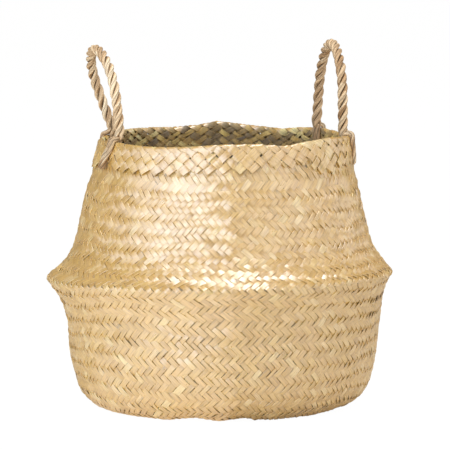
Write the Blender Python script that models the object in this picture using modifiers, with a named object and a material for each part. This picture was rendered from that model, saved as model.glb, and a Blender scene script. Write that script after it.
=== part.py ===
"""Plaited seagrass belly basket with two twisted rope handles.

Metres, +Z up, the front faces -Y. The origin is the centre of the round bottom, on the floor.
The walls are closed shells, parted where the real fabric folds or is doubled. Each rope is three
laid strands, which end at the hinge line over the rim, and whose tails stay on the rim.
"""

import math

import bmesh
import bpy
from mathutils import Vector

# Driving sizes of the basket
RIDGE_RADIUS = 0.1750
RIDGE_HEIGHT = 0.1340
RIM_RADIUS = 0.1287
RIM_HEIGHT = 0.2760
BOTTOM_RADIUS = 0.1215
WALL = 0.0024
BASE_THICKNESS = 0.0030
GAP = 0.0003

# Where the shells are parted
FOLD_HALF_DEPTH = 0.0185
HEM_DEPTH = 0.0285

# The handmade shape: how far the rim and the ridge stand off the axis, over what depth below
# the rim and above and below the ridge they do, and how the ridge lies
RIM_LEAN = 0.0028
RIM_LEAN_DEPTH = 0.0620
RIDGE_LEAN = -0.0025
RIDGE_LEAN_ABOVE = 0.0160
RIDGE_LEAN_BELOW = 0.0500
RIDGE_FRONT_LIFT = 0.0040
RIDGE_SIDE_LIFT = 0.0030

# The ropes
STRAND_RADIUS = 0.00195
STRAND_OFFSET = 0.00275
TURNS = 7 + 2 / 3
POINTS_PER_TURN = 9
STRANDS = 3
FOOT_INSET = 0.0069
LEG_LENGTH = 0.0350
TAIL_DROP = 0.0270
TAIL_POINTS = 7

# The room that a rope has above the rim, as a share of its radius. Where a strand that goes over
# the rim turns down: the share of its way out, and the share of that by which it has dropped
SWING_share = 1.1
TURN_shares = (0.8, 0.35)

# Each handle: where its middle stands round the rim, its chord, how far it leans out and is
# twisted at the top, how many of its strands go down outside the rim, and how far round the rim
# these slant
HANDLES = {
    "left": {
        "azimuth": math.radians(185.5),
        "chord": 0.1000,
        "lean": math.radians(13.5),
        "twist": math.radians(-10.5),
        "outside_count": 2,
        "slant": math.radians(6.5),
    },
    "right": {
        "azimuth": math.radians(14.5),
        "chord": 0.1010,
        "lean": 0.0,
        "twist": 0.0,
        "outside_count": 1,
        "slant": math.radians(-2),
    },
}

# Resolution, and the share of a gap within which points are taken as one
SEGMENTS = 48
MERGE_share = 0.1

# The bowl's outer side: share of the ridge's height, and share of the way from the bottom's
# radius to the ridge's
BOWL_shares = [
    (0.000, 0.030),
    (0.016, 0.165),
    (0.060, 0.314),
    (0.107, 0.417),
    (0.180, 0.500),
    (0.290, 0.576),
    (0.430, 0.637),
    (0.600, 0.683),
    (0.735, 0.735),
    (0.800, 0.775),
    (0.900, 0.880),
    (0.960, 0.965),
]

# The upper half's outer side: share of the height from the ridge to the rim, and share of the
# way from the rim's radius to the ridge's
SHOULDER_shares = [
    (0.000, 1.000),
    (0.030, 0.935),
    (0.075, 0.795),
    (0.145, 0.630),
    (0.215, 0.515),
    (0.300, 0.435),
    (0.440, 0.340),
    (0.600, 0.240),
    (0.700, 0.145),
    (0.780, 0.095),
    (0.880, 0.062),
    (0.955, 0.018),
]

# The rim's rounded top, from outside to inside: share of the rim's whole thickness in from the
# outer side, and share of that thickness down from the top
RIM_TOP_shares = [(0.08, 0.40), (0.32, 0.09), (0.60, 0.00), (0.85, 0.08), (1.00, 0.30)]

# A strand's end, below the hinge line, where the three draw together: share of the strand's
# offset, share of the swing radius, and share of the strand's radius
STRAND_END_shares = [(0.44, 0.83, 0.44), (0.80, 0.42, 0.90)]

# Values worked out from the sizes above
RIM_THICKNESS = 2 * WALL + GAP
HEM_BOTTOM = RIM_HEIGHT - HEM_DEPTH
FOLD_BOTTOM = RIDGE_HEIGHT - FOLD_HALF_DEPTH
FOLD_TOP = RIDGE_HEIGHT + FOLD_HALF_DEPTH
ROPE_RADIUS = STRAND_OFFSET + STRAND_RADIUS
SWING_RADIUS = SWING_share * ROPE_RADIUS
FOOT_RADIUS = RIM_RADIUS - FOOT_INSET
HINGE_HEIGHT = RIM_HEIGHT + GAP + SWING_RADIUS
FLAT_ALLOWANCE = RIM_RADIUS * (1 - math.cos(math.pi / SEGMENTS))


def clear_scene():
    """Remove every object, so that the script starts from an empty scene."""
    for thing in list(bpy.data.objects):
        bpy.data.objects.remove(thing, do_unlink=True)


def new_collection(name):
    """Make a collection under the scene's own."""
    collection = bpy.data.collections.new(name)
    bpy.context.scene.collection.children.link(collection)
    return collection


def new_material(name, colour, roughness, metallic):
    """Make a plain Principled material."""
    material = bpy.data.materials.new(name)
    material.use_nodes = True
    shader = material.node_tree.nodes["Principled BSDF"]
    shader.inputs["Base Color"].default_value = (*colour, 1.0)
    shader.inputs["Roughness"].default_value = roughness
    shader.inputs["Metallic"].default_value = metallic
    return material


def smooth(share):
    """Ease a share from 0 to 1."""
    share = min(max(share, 0.0), 1.0)
    return share * share * (3 - 2 * share)


def basket_outline():
    """List the outer side's (radius, height) points, from the floor up to below the rim's top."""
    points = []
    for up, out in BOWL_shares:
        points.append((BOTTOM_RADIUS + out * (RIDGE_RADIUS - BOTTOM_RADIUS), up * RIDGE_HEIGHT))
    for up, out in SHOULDER_shares:
        height = RIDGE_HEIGHT + up * (RIM_HEIGHT - RIDGE_HEIGHT)
        points.append((RIM_RADIUS + out * (RIDGE_RADIUS - RIM_RADIUS), height))
    return points


OUTLINE = basket_outline()


def outer_radius(height):
    """Read the outer side's radius at a height."""
    for (low_radius, low), (high_radius, high) in zip(OUTLINE, OUTLINE[1:]):
        if height <= high:
            share = (height - low) / (high - low)
            return low_radius + share * (high_radius - low_radius)
    return OUTLINE[-1][0]


def outline_between(low, high):
    """Cut the outer side's points to a stretch between two heights, from the top down."""
    inner = [point for point in OUTLINE if low < point[1] < high]
    ends = [(outer_radius(low), low)], [(outer_radius(high), high)]
    return list(reversed(ends[0] + inner + ends[1]))


def lean_at(height):
    """Work out how far the basket stands to the side at a height."""
    reach = RIDGE_LEAN_BELOW if height < RIDGE_HEIGHT else RIDGE_LEAN_ABOVE
    at_ridge = smooth(1 - abs(height - RIDGE_HEIGHT) / reach)
    at_rim = smooth(1 - (RIM_HEIGHT - height) / RIM_LEAN_DEPTH)
    return RIDGE_LEAN * at_ridge + RIM_LEAN * at_rim


def lift_at(x, y, height):
    """Work out how far the fabric is lifted round the ridge, at a place on the basket."""
    if height < RIDGE_HEIGHT:
        weight = smooth(height / RIDGE_HEIGHT)
    else:
        weight = 1 - smooth((height - RIDGE_HEIGHT) / (HEM_BOTTOM - RIDGE_HEIGHT))
    return weight * (RIDGE_SIDE_LIFT * x - RIDGE_FRONT_LIFT * y) / RIDGE_RADIUS


def settle(mesh):
    """Move a turned mesh's points to where the handmade basket has them."""
    for vertex in mesh.vertices:
        x, y, z = vertex.co
        vertex.co.x = x + lean_at(z)
        vertex.co.z = z + lift_at(x, y, z)


def finish_mesh(thing, material, collection):
    """Apply an object's modifiers, settle its points and give it its material."""
    collection.objects.link(thing)
    bpy.context.view_layer.update()
    graph = bpy.context.evaluated_depsgraph_get()
    mesh = bpy.data.meshes.new_from_object(thing.evaluated_get(graph))
    mesh.name = thing.name
    thing.modifiers.clear()
    thing.data = mesh
    settle(mesh)
    mesh.materials.clear()
    mesh.materials.append(material)
    mesh.shade_smooth()
    mesh.set_sharp_from_angle(angle=math.radians(40))


def turned(name, profile, closed, thickness, material, collection):
    """Turn a profile at +X about Z. An open profile becomes a shell of the given thickness."""
    mesh = bpy.data.meshes.new(name)
    count = len(profile)
    edges = [(i, i + 1) for i in range(count - 1)]
    if closed:
        edges.append((count - 1, 0))
    mesh.from_pydata([(radius, 0, height) for radius, height in profile], edges, [])
    thing = bpy.data.objects.new(name, mesh)
    screw = thing.modifiers.new("turn", "SCREW")
    screw.steps = SEGMENTS
    screw.render_steps = SEGMENTS
    screw.use_merge_vertices = True
    screw.merge_threshold = GAP * MERGE_share
    if not closed:
        shell = thing.modifiers.new("thickness", "SOLIDIFY")
        shell.thickness = thickness
        shell.offset = -1
        shell.use_even_offset = True
    finish_mesh(thing, material, collection)
    return thing


def make_base_mat(material, collection):
    """The flat plaited bottom, a disc that fills the wall's lower edge."""
    mesh = bpy.data.meshes.new("base_mat")
    bm = bmesh.new()
    bmesh.ops.create_cone(
        bm,
        cap_ends=True,
        segments=SEGMENTS,
        radius1=BOTTOM_RADIUS - GAP,
        radius2=BOTTOM_RADIUS - GAP,
        depth=BASE_THICKNESS,
    )
    bmesh.ops.translate(bm, verts=bm.verts, vec=(0, 0, BASE_THICKNESS / 2))
    bm.to_mesh(mesh)
    bm.free()
    thing = bpy.data.objects.new("base_mat", mesh)
    mesh.materials.append(material)
    collection.objects.link(thing)


def make_walls(material, collection):
    """The bowl, the belly fold and the upper wall, three shells that meet edge to edge."""
    foot = [(BOTTOM_RADIUS, 0)]
    bowl = outline_between(0, FOLD_BOTTOM - GAP / 2) + foot
    fold = outline_between(FOLD_BOTTOM + GAP / 2, FOLD_TOP - GAP / 2)
    shoulder = outline_between(FOLD_TOP + GAP / 2, HEM_BOTTOM - GAP)
    turned("lower_wall", bowl, False, WALL, material, collection)
    turned("belly_fold", fold, False, WALL, material, collection)
    turned("upper_wall", shoulder, False, WALL, material, collection)


def rim_shoulder():
    """Give the height where the rim's rounded top starts, on its outer side."""
    return RIM_HEIGHT - RIM_TOP_shares[0][1] * RIM_THICKNESS


def make_rim(gold, natural, collection):
    """The rim's inner band, and the hem that is turned over it and down its outer side."""
    top = rim_shoulder()
    band_top = RIM_HEIGHT - RIM_THICKNESS / 2 - GAP
    outer = outline_between(HEM_BOTTOM, top - RIM_TOP_shares[0][0] * RIM_THICKNESS)
    crown_radius = outer[0][0]
    crown = []
    for inward, down in reversed(RIM_TOP_shares):
        crown.append((crown_radius - inward * RIM_THICKNESS, RIM_HEIGHT - down * RIM_THICKNESS))
    lip = [(crown_radius - WALL, band_top + GAP), (crown[0][0], band_top + GAP)]
    inner = [(radius - WALL, height) for radius, height in reversed(outer[1:])]
    turned("rim_hem", crown + outer + inner + lip, True, 0, gold, collection)

    band = [(crown_radius - WALL - GAP, band_top)]
    for radius, height in outer[1:]:
        band.append((radius - WALL - GAP, height))
    turned("rim_band", band, False, WALL, natural, collection)


def around(radius, azimuth, height):
    """Give the place at a radius and azimuth round the basket's own centre at that height."""
    x = lean_at(height) + radius * math.cos(azimuth)
    return Vector((x, radius * math.sin(azimuth), height))


def foot_azimuths(handle):
    """Give the azimuths of a handle's two feet, the clockwise one first."""
    half = math.asin(handle["chord"] / 2 / FOOT_RADIUS)
    return handle["azimuth"] - half, handle["azimuth"] + half


def loop_place(handle, distance):
    """Follow a handle's centre line, and give its place, heading and outward direction."""
    half = handle["chord"] / 2
    arch = math.pi * half
    if distance < LEG_LENGTH:
        across, up, turn = -half, distance, 0.0
    elif distance < LEG_LENGTH + arch:
        turn = (distance - LEG_LENGTH) / half
        across, up = -half * math.cos(turn), LEG_LENGTH + half * math.sin(turn)
    else:
        across, up, turn = half, 2 * LEG_LENGTH + arch - distance, math.pi

    lean = handle["lean"]
    twist = handle["twist"] * up / (LEG_LENGTH + half)
    out = Vector((math.cos(handle["azimuth"]), math.sin(handle["azimuth"]), 0))
    side = Vector((-out.y, out.x, 0))
    rise = out * math.sin(lean) + Vector((0, 0, math.cos(lean)))
    along = side * math.cos(twist) + out * math.sin(twist)
    centre = around(math.sqrt(FOOT_RADIUS ** 2 - half ** 2), handle["azimuth"], HINGE_HEIGHT)
    heading = along * math.sin(turn) + rise * math.cos(turn)
    outward = along.cross(rise)
    return centre + along * across + rise * up, heading, outward


def tube(name, points, radii, material, collection):
    """Make a closed tube along a list of points. The radii are shares of a strand's radius."""
    curve = bpy.data.curves.new(name, "CURVE")
    curve.dimensions = "3D"
    curve.bevel_depth = STRAND_RADIUS
    curve.bevel_resolution = 1
    curve.use_fill_caps = True
    spline = curve.splines.new("POLY")
    spline.points.add(len(points) - 1)
    for place, radius, point in zip(points, radii, spline.points):
        point.co = (*place, 1)
        point.radius = radius
    curve.materials.append(material)
    thing = bpy.data.objects.new(name, curve)
    collection.objects.link(thing)
    return thing


def make_loop(side, handle, material, collection, pivot):
    """The three strands of one handle, laid right-handed round its centre line."""
    length = 2 * LEG_LENGTH + math.pi * handle["chord"] / 2
    count = round(TURNS * POINTS_PER_TURN)
    steps = [(i / count, 1.0, 0.0, 1.0) for i in range(count + 1)]
    start = [(0.0, *shares) for shares in STRAND_END_shares]
    end = [(1.0, *shares) for shares in reversed(STRAND_END_shares)]
    for strand in range(STRANDS):
        phase = strand * 2 * math.pi / STRANDS
        points = []
        radii = []
        for share, spread, drop, radius in start + steps + end:
            place, heading, outward = loop_place(handle, share * length)
            angle = phase + share * TURNS * 2 * math.pi
            ray = outward * math.cos(angle) + heading.cross(outward) * math.sin(angle)
            below = heading * (-1 if share < 1 else 1) * drop * SWING_RADIUS
            points.append(place + ray * spread * STRAND_OFFSET + below - pivot.location)
            radii.append(radius)
        piece = tube(f"{side}_handle_strand_{strand + 1}", points, radii, material, collection)
        piece.parent = pivot


def outer_tail_path(azimuth, slant, offset):
    """Lead a strand from beside the hinge over the rim, and down the hem at a slant."""
    above_rim = STRAND_RADIUS + GAP
    low = RIM_HEIGHT + above_rim
    rise = HINGE_HEIGHT - low - STRAND_RADIUS
    start = FOOT_RADIUS + math.sqrt((SWING_RADIUS + GAP) ** 2 - rise ** 2)
    rim_side = rim_shoulder()
    side_radius = outer_radius(rim_side) + above_rim
    out, down = TURN_shares
    corner = (side_radius - start) * out
    points = [(start, low, 0.0), (start + corner, low - corner * down, 0.0)]
    bottom = rim_side - TAIL_DROP
    for i in range(TAIL_POINTS):
        share = i / (TAIL_POINTS - 1)
        height = rim_side + share * (bottom - rim_side)
        points.append((outer_radius(height) + above_rim, height, share))
    path = []
    for radius, height, share in points:
        path.append(around(radius, azimuth + slant * share + offset / RIM_RADIUS, height))
    return path


def inner_tail_path(azimuth, offset):
    """Lead a strand from under the hinge straight down the rim's inner side."""
    off_wall = RIM_THICKNESS + STRAND_RADIUS + GAP + FLAT_ALLOWANCE
    top = HINGE_HEIGHT - SWING_RADIUS - GAP
    path = []
    for i in range(TAIL_POINTS):
        height = top - i / (TAIL_POINTS - 1) * TAIL_DROP
        place = (outer_radius(height) - off_wall, azimuth + offset / FOOT_RADIUS, height)
        path.append(around(*place))
    return path


def side_offsets(count, spacing):
    """Spread a number of neighbours evenly about zero."""
    return [(i - (count - 1) / 2) * spacing for i in range(count)]


def make_tails(side, handle, material, collection):
    """The strand ends at a handle's two feet, outside and inside the rim."""
    spacing = 2 * STRAND_RADIUS + 2 * GAP
    slant_run = handle["slant"] * RIM_RADIUS
    slant_spacing = spacing * math.hypot(slant_run, TAIL_DROP) / TAIL_DROP
    outside = handle["outside_count"]
    inside = STRANDS - outside
    feet = foot_azimuths(handle)
    names = ("back", "front") if side == "left" else ("front", "back")
    for azimuth, foot, turn in zip(feet, names, (1, -1)):
        for i, offset in enumerate(side_offsets(outside, slant_spacing)):
            path = outer_tail_path(azimuth, turn * handle["slant"], offset)
            tube(f"{side}_{foot}_outer_tail_{i + 1}", path, [1] * len(path), material, collection)
        for i, offset in enumerate(side_offsets(inside, spacing)):
            path = inner_tail_path(azimuth, offset)
            tube(f"{side}_{foot}_inner_tail_{i + 1}", path, [1] * len(path), material, collection)


def make_pivot(side, handle):
    """An empty on a handle's hinge line, between its feet."""
    first, last = foot_azimuths(handle)
    start = around(FOOT_RADIUS, first, HINGE_HEIGHT)
    end = around(FOOT_RADIUS, last, HINGE_HEIGHT)
    pivot = bpy.data.objects.new(f"{side}_handle_hinge", None)
    pivot.location = (start + end) / 2
    pivot.empty_display_size = ROPE_RADIUS
    bpy.context.scene.collection.objects.link(pivot)
    return pivot


def main():
    """Build the basket."""
    clear_scene()
    collection = new_collection("belly_basket")
    gold = new_material("gold_seagrass", (0.72, 0.54, 0.29), 0.42, 0.3)
    natural = new_material("natural_seagrass", (0.30, 0.24, 0.12), 0.8, 0.0)
    rope = new_material("seagrass_rope", (0.60, 0.44, 0.27), 0.75, 0.0)

    make_base_mat(natural, collection)
    make_walls(gold, collection)
    make_rim(gold, natural, collection)
    for side, handle in HANDLES.items():
        pivot = make_pivot(side, handle)
        make_loop(side, handle, rope, collection, pivot)
        make_tails(side, handle, rope, collection)


main()
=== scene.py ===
import math

import bpy
import numpy as np
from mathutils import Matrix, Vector


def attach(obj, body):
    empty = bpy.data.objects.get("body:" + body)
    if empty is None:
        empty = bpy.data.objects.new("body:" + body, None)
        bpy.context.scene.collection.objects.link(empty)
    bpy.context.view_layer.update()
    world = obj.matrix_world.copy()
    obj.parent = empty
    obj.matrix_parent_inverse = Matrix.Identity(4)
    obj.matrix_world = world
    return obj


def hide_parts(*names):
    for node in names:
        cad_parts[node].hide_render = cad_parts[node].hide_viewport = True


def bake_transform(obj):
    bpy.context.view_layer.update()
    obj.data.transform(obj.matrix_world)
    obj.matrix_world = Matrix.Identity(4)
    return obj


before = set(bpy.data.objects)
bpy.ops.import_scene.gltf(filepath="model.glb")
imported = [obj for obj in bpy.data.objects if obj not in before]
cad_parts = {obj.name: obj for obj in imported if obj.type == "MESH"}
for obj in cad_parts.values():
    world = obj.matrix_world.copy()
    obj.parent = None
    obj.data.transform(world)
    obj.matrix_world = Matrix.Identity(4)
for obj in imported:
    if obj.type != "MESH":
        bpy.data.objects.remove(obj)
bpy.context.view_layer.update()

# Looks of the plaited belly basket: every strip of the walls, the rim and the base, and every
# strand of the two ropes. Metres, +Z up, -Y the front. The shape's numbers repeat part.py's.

# Sizes repeated from part.py
RIDGE_RADIUS = 0.1750
RIDGE_HEIGHT = 0.1340
RIM_RADIUS = 0.1287
RIM_HEIGHT = 0.2760
BOTTOM_RADIUS = 0.1215
WALL = 0.0024
GAP = 0.0003
HEM_DEPTH = 0.0285
RIM_LEAN = 0.0028
RIM_LEAN_DEPTH = 0.0620
RIDGE_LEAN = -0.0025
RIDGE_LEAN_ABOVE = 0.0160
RIDGE_LEAN_BELOW = 0.0500
RIDGE_FRONT_LIFT = 0.0040
RIDGE_SIDE_LIFT = 0.0030
STRAND_RADIUS = 0.00195
STRAND_OFFSET = 0.00275
POINTS_PER_TURN = 9
STRANDS = 3
FOOT_INSET = 0.0069
LEG_LENGTH = 0.0350
TAIL_DROP = 0.0270
TAIL_POINTS = 7
SWING_SHARE = 1.1
TURN_SHARES = (0.8, 0.35)
HANDLES = {
    "left": {
        "azimuth": math.radians(185.5), "chord": 0.1000, "lean": math.radians(13.5),
        "twist": math.radians(-12), "outside": 2, "slant": math.radians(6.5),
    },
    "right": {
        "azimuth": math.radians(14.5), "chord": 0.1010, "lean": math.radians(1.7),
        "twist": math.radians(3.5), "outside": 1, "slant": math.radians(-2),
    },
}
BOWL_SHARES = [
    (0.000, 0.030), (0.016, 0.165), (0.060, 0.314), (0.107, 0.417), (0.180, 0.500),
    (0.290, 0.576), (0.430, 0.637), (0.600, 0.683), (0.735, 0.735), (0.800, 0.775),
    (0.900, 0.880), (0.960, 0.965),
]
SHOULDER_SHARES = [
    (0.000, 1.000), (0.030, 0.935), (0.075, 0.795), (0.145, 0.630), (0.215, 0.515),
    (0.300, 0.435), (0.440, 0.340), (0.600, 0.240), (0.700, 0.145), (0.780, 0.095),
    (0.880, 0.062), (0.955, 0.018),
]
RIM_THICKNESS = 2 * WALL + GAP
HEM_BOTTOM = RIM_HEIGHT - HEM_DEPTH
ROPE_RADIUS = STRAND_OFFSET + STRAND_RADIUS
SWING_RADIUS = SWING_SHARE * ROPE_RADIUS
FOOT_RADIUS = RIM_RADIUS - FOOT_INSET
HINGE_HEIGHT = RIM_HEIGHT + GAP + SWING_RADIUS

# Camera
CAMERA_AT = (0.0031, -5.0, 0.75)
CAMERA_TO = (0.0031, 0.0, 0.1839)
LENS = 394.6


def make_camera():
    """Look at the basket as the photograph does."""
    data = bpy.data.cameras.new("camera")
    data.sensor_width = 36.0
    data.lens = LENS
    data.clip_start, data.clip_end = 0.1, 50.0
    camera = bpy.data.objects.new("camera", data)
    camera.location = CAMERA_AT
    look = Vector(CAMERA_TO) - Vector(CAMERA_AT)
    camera.rotation_euler = look.to_track_quat("-Z", "Y").to_euler()
    bpy.context.scene.collection.objects.link(camera)
    bpy.context.scene.camera = camera


make_camera()

# The basket's form


def smooth(share):
    """Ease a share from 0 to 1."""
    share = np.clip(share, 0.0, 1.0)
    return share * share * (3 - 2 * share)


def waves(angle, seed, orders, size):
    """A smooth random curve round the basket, about plus and minus size high."""
    rng = np.random.default_rng(seed)
    total = np.zeros_like(angle)
    for order in orders:
        total = total + rng.normal() * np.sin(order * angle + rng.uniform(0, 2 * math.pi))
    return size * total / math.sqrt(len(orders))


def spline(points, per=24):
    """Run a centripetal Catmull-Rom curve through points, and list its places."""
    points = np.array(points, float)
    ends = 2 * points[0] - points[1], 2 * points[-1] - points[-2]
    knots = np.vstack([ends[0], points, ends[1]])
    step = np.sqrt(np.linalg.norm(np.diff(knots, axis=0), axis=1))
    time = np.concatenate([[0], np.cumsum(step)])
    made = []
    for i in range(1, len(knots) - 2):
        t0, t1, t2, t3 = time[i - 1:i + 3]
        t = np.linspace(t1, t2, per, endpoint=False)[:, None]
        a1 = (t1 - t) / (t1 - t0) * knots[i - 1] + (t - t0) / (t1 - t0) * knots[i]
        a2 = (t2 - t) / (t2 - t1) * knots[i] + (t - t1) / (t2 - t1) * knots[i + 1]
        a3 = (t3 - t) / (t3 - t2) * knots[i + 1] + (t - t2) / (t3 - t2) * knots[i + 2]
        b1 = (t2 - t) / (t2 - t0) * a1 + (t - t0) / (t2 - t0) * a2
        b2 = (t3 - t) / (t3 - t1) * a2 + (t - t1) / (t3 - t1) * a3
        made.append((t2 - t) / (t2 - t1) * b1 + (t - t1) / (t2 - t1) * b2)
    made.append(points[-1:])
    return np.vstack(made)


def outline():
    """The outer side's radius and height, as the CAD solids have them."""
    points = []
    for up, out in BOWL_SHARES:
        points.append((BOTTOM_RADIUS + out * (RIDGE_RADIUS - BOTTOM_RADIUS), up * RIDGE_HEIGHT))
    for up, out in SHOULDER_SHARES:
        height = RIDGE_HEIGHT + up * (RIM_HEIGHT - RIDGE_HEIGHT)
        points.append((RIM_RADIUS + out * (RIDGE_RADIUS - RIM_RADIUS), height))
    return points


OUTLINE = np.array(outline())


def outer_radius(height):
    """The outer side's radius at a height."""
    return np.interp(height, OUTLINE[:, 1], OUTLINE[:, 0])


def inward(points, depth):
    """Move a profile inward, across its own run."""
    run = np.gradient(points, axis=0)
    run /= np.linalg.norm(run, axis=1)[:, None]
    return points - depth * np.stack([run[:, 1], -run[:, 0]], 1)


class Profile:
    """A profile of the basket that is read by the length along it."""

    def __init__(self, points):
        self.points = points
        self.length = np.concatenate([[0], np.cumsum(np.linalg.norm(np.diff(points, axis=0), axis=1))])
        run = np.gradient(points, axis=0)
        run /= np.linalg.norm(run, axis=1)[:, None]
        self.out = np.stack([run[:, 1], -run[:, 0]], 1)

    def read(self, s):
        """Radius, height, and the outward direction's two parts."""
        return (
            np.interp(s, self.length, self.points[:, 0]), np.interp(s, self.length, self.points[:, 1]),
            np.interp(s, self.length, self.out[:, 0]), np.interp(s, self.length, self.out[:, 1]),
        )


def lean_at(height):
    """How far the basket stands to the side at a height."""
    reach = np.where(height < RIDGE_HEIGHT, RIDGE_LEAN_BELOW, RIDGE_LEAN_ABOVE)
    at_ridge = smooth(1 - np.abs(height - RIDGE_HEIGHT) / reach)
    at_rim = smooth(1 - (RIM_HEIGHT - height) / RIM_LEAN_DEPTH)
    return RIDGE_LEAN * at_ridge + RIM_LEAN * at_rim


def lift_at(x, y, height):
    """How far the fabric is lifted round the ridge."""
    above = (height - RIDGE_HEIGHT) / (HEM_BOTTOM - RIDGE_HEIGHT)
    weight = np.where(height < RIDGE_HEIGHT, smooth(height / RIDGE_HEIGHT), 1 - smooth(above))
    return weight * (RIDGE_SIDE_LIFT * x - RIDGE_FRONT_LIFT * y) / RIDGE_RADIUS


# The rim's waves: azimuth in degrees from +X, and how far the rim is above its plain height
RIM_WAVES = [
    (-180, -0.0036), (-168, -0.0026), (-158, -0.0002), (-150, -0.0002), (-140, -0.0008),
    (-125, -0.0012), (-110, 0.0000), (-100, 0.0018), (-90, 0.0036), (-75, 0.0034),
    (-62, 0.0004), (-50, 0.0036), (-35, 0.0050), (-20, 0.0034), (-10, 0.0022), (2, -0.0002),
    (15, -0.0012), (30, 0.0000), (40, 0.0014), (52, -0.0004), (62, -0.0030), (72, -0.0014),
    (84, 0.0010), (94, 0.0036), (103, -0.0002), (115, -0.0014), (135, -0.0002), (148, -0.0006),
    (160, -0.0030), (170, -0.0038), (180, -0.0036),
]
WAVE_AT = np.radians([degrees for degrees, _ in RIM_WAVES])
WAVE_UP = np.array([up for _, up in RIM_WAVES])
CREASE_AZIMUTH = math.radians(-86.3)
CREASE_HEIGHT = 0.0046
CREASE_WIDTH = 0.030
# How sharply the belly fold is creased: how far its edge stands out, and over what height
FOLD_EDGE = 0.0011
FOLD_EDGE_DEPTH = 0.0036
# The bowl's own lean and spread below the ridge
BOWL_LEAN = 0.0018
BOWL_SPREAD = 0.003
# The bottom corner's lumps: azimuth in degrees, and how far the corner is off the floor
FOOT_LUMPS = [
    (-180, 0.0022), (-165, 0.0006), (-150, 0.0002), (-132, 0.0003), (-122, 0.0002), (-115, 0.0000),
    (-108, 0.0024), (-102, 0.0038), (-97, 0.0024), (-91, 0.0000), (-85, 0.0020), (-79, 0.0034),
    (-74, 0.0010), (-68, 0.0002), (-58, 0.0006), (-46, 0.0004), (-35, 0.0014), (-25, 0.0030),
    (-12, 0.0012), (6, 0.0026), (22, 0.0004), (40, 0.0030), (58, 0.0006), (76, 0.0028),
    (94, 0.0002), (112, 0.0032), (130, 0.0006), (148, 0.0026), (164, 0.0004), (180, 0.0022),
]
LUMP_AT = np.radians([degrees for degrees, _ in FOOT_LUMPS])
LUMP_UP = np.array([up for _, up in FOOT_LUMPS])


def around(angle):
    """An angle brought to between minus and plus half a turn."""
    return (angle + math.pi) % (2 * math.pi) - math.pi


def dents(angle, height):
    """How far the handmade wall stands out from a round one."""
    crease = np.exp(-np.abs(around(angle - CREASE_AZIMUTH)) * 0.15 / CREASE_WIDTH)
    back = np.exp(-np.abs(around(angle - CREASE_AZIMUTH - math.pi)) * 0.15 / CREASE_WIDTH)
    rise = smooth(height / 0.04) * smooth((RIM_HEIGHT - height) / 0.03)
    turn = height / RIM_HEIGHT
    lumps = waves(angle + 0.7 * turn, 3, (4, 5, 7, 9), 0.0007)
    lumps = lumps + waves(angle - 1.9 * turn, 4, (11, 14, 17), 0.00035)
    away_from_ridge = smooth(np.abs(height - RIDGE_HEIGHT) / 0.02)
    return CREASE_HEIGHT * (crease + 0.6 * back) * rise + lumps * rise * away_from_ridge


def place(profile, angle, s, out):
    """The place on the handmade basket at an angle and length along a profile, off by out."""
    radius, height, across, up = profile.read(s)
    edge = FOLD_EDGE * np.exp(-np.abs(height - RIDGE_HEIGHT) / FOLD_EDGE_DEPTH)
    radius = radius + out * across + dents(angle, height) + edge
    height = height + out * up
    x = radius * np.cos(angle)
    y = radius * np.sin(angle)
    height = height + lift_at(x, y, height)
    wave = np.interp(around(angle), WAVE_AT, WAVE_UP)
    height = height + wave * smooth((height - 0.19) / (RIM_HEIGHT - 0.19))
    low = np.exp(-np.clip(height, 0, 1) / 0.014) * smooth((radius - 0.118) / 0.006)
    height = height + np.interp(around(angle), LUMP_AT, LUMP_UP) * low
    bowl = smooth(height / 0.03) * (1 - smooth((height - 0.100) / 0.028))
    x = x * (1 + BOWL_SPREAD * bowl) + lean_at(height) + BOWL_LEAN * bowl
    return np.stack([x, y, height], -1)


# Meshes


def new_mesh(name, vertices, quads, attributes, material, corners=None, stations=0):
    """Make an object from places and four-sided faces, with sharp edges at a strip's corners."""
    mesh = bpy.data.meshes.new(name)
    mesh.vertices.add(len(vertices))
    mesh.vertices.foreach_set("co", vertices.astype(np.float32).ravel())
    mesh.loops.add(quads.size)
    mesh.loops.foreach_set("vertex_index", quads.astype(np.int32).ravel())
    mesh.polygons.add(len(quads))
    mesh.polygons.foreach_set("loop_start", np.arange(0, quads.size, 4, dtype=np.int32))
    mesh.update(calc_edges=True)
    for key, values in attributes.items():
        kind = "FLOAT" if values.ndim == 1 else "FLOAT_VECTOR"
        layer = mesh.attributes.new(key, kind, "POINT")
        layer.data.foreach_set("value" if kind == "FLOAT" else "vector", values.astype(np.float32).ravel())
    mesh.materials.append(material)
    mesh.shade_smooth()
    if corners is not None:
        ends = np.empty(len(mesh.edges) * 2, np.int32)
        mesh.edges.foreach_get("vertices", ends)
        ends = ends.reshape(-1, 2)
        at = ends // len(corners) % stations
        long = (at[:, 0] != at[:, 1]) & corners[ends[:, 0] % len(corners)]
        across = (at[:, 0] == at[:, 1]) & ((at[:, 0] == 0) | (at[:, 0] == stations - 1))
        sharp = long | across
        mesh.attributes.new("sharp_edge", "BOOLEAN", "EDGE").data.foreach_set("value", sharp)
    thing = bpy.data.objects.new(name, mesh)
    bpy.context.scene.collection.objects.link(thing)
    return thing


def tube_quads(strips, stations, sides, pairs):
    """The faces of a row of closed tubes, with the pairs of corners that close their ends."""
    strip = np.arange(strips)[:, None, None] * stations * sides
    station = np.arange(stations - 1)[None, :, None] * sides
    side = np.arange(sides)[None, None, :]
    after = (side + 1) % sides
    low = strip + station
    walls = np.stack([low + side, low + after, low + sides + after, low + sides + side], -1)
    caps = []
    for (a, b), (c, d) in zip(pairs, pairs[1:]):
        first = np.arange(strips) * stations * sides
        last = first + (stations - 1) * sides
        caps.append(np.stack([first + a, first + b, first + d, first + c], -1))
        caps.append(np.stack([last + a, last + c, last + d, last + b], -1))
    return np.vstack([walls.reshape(-1, 4), *caps])


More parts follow.
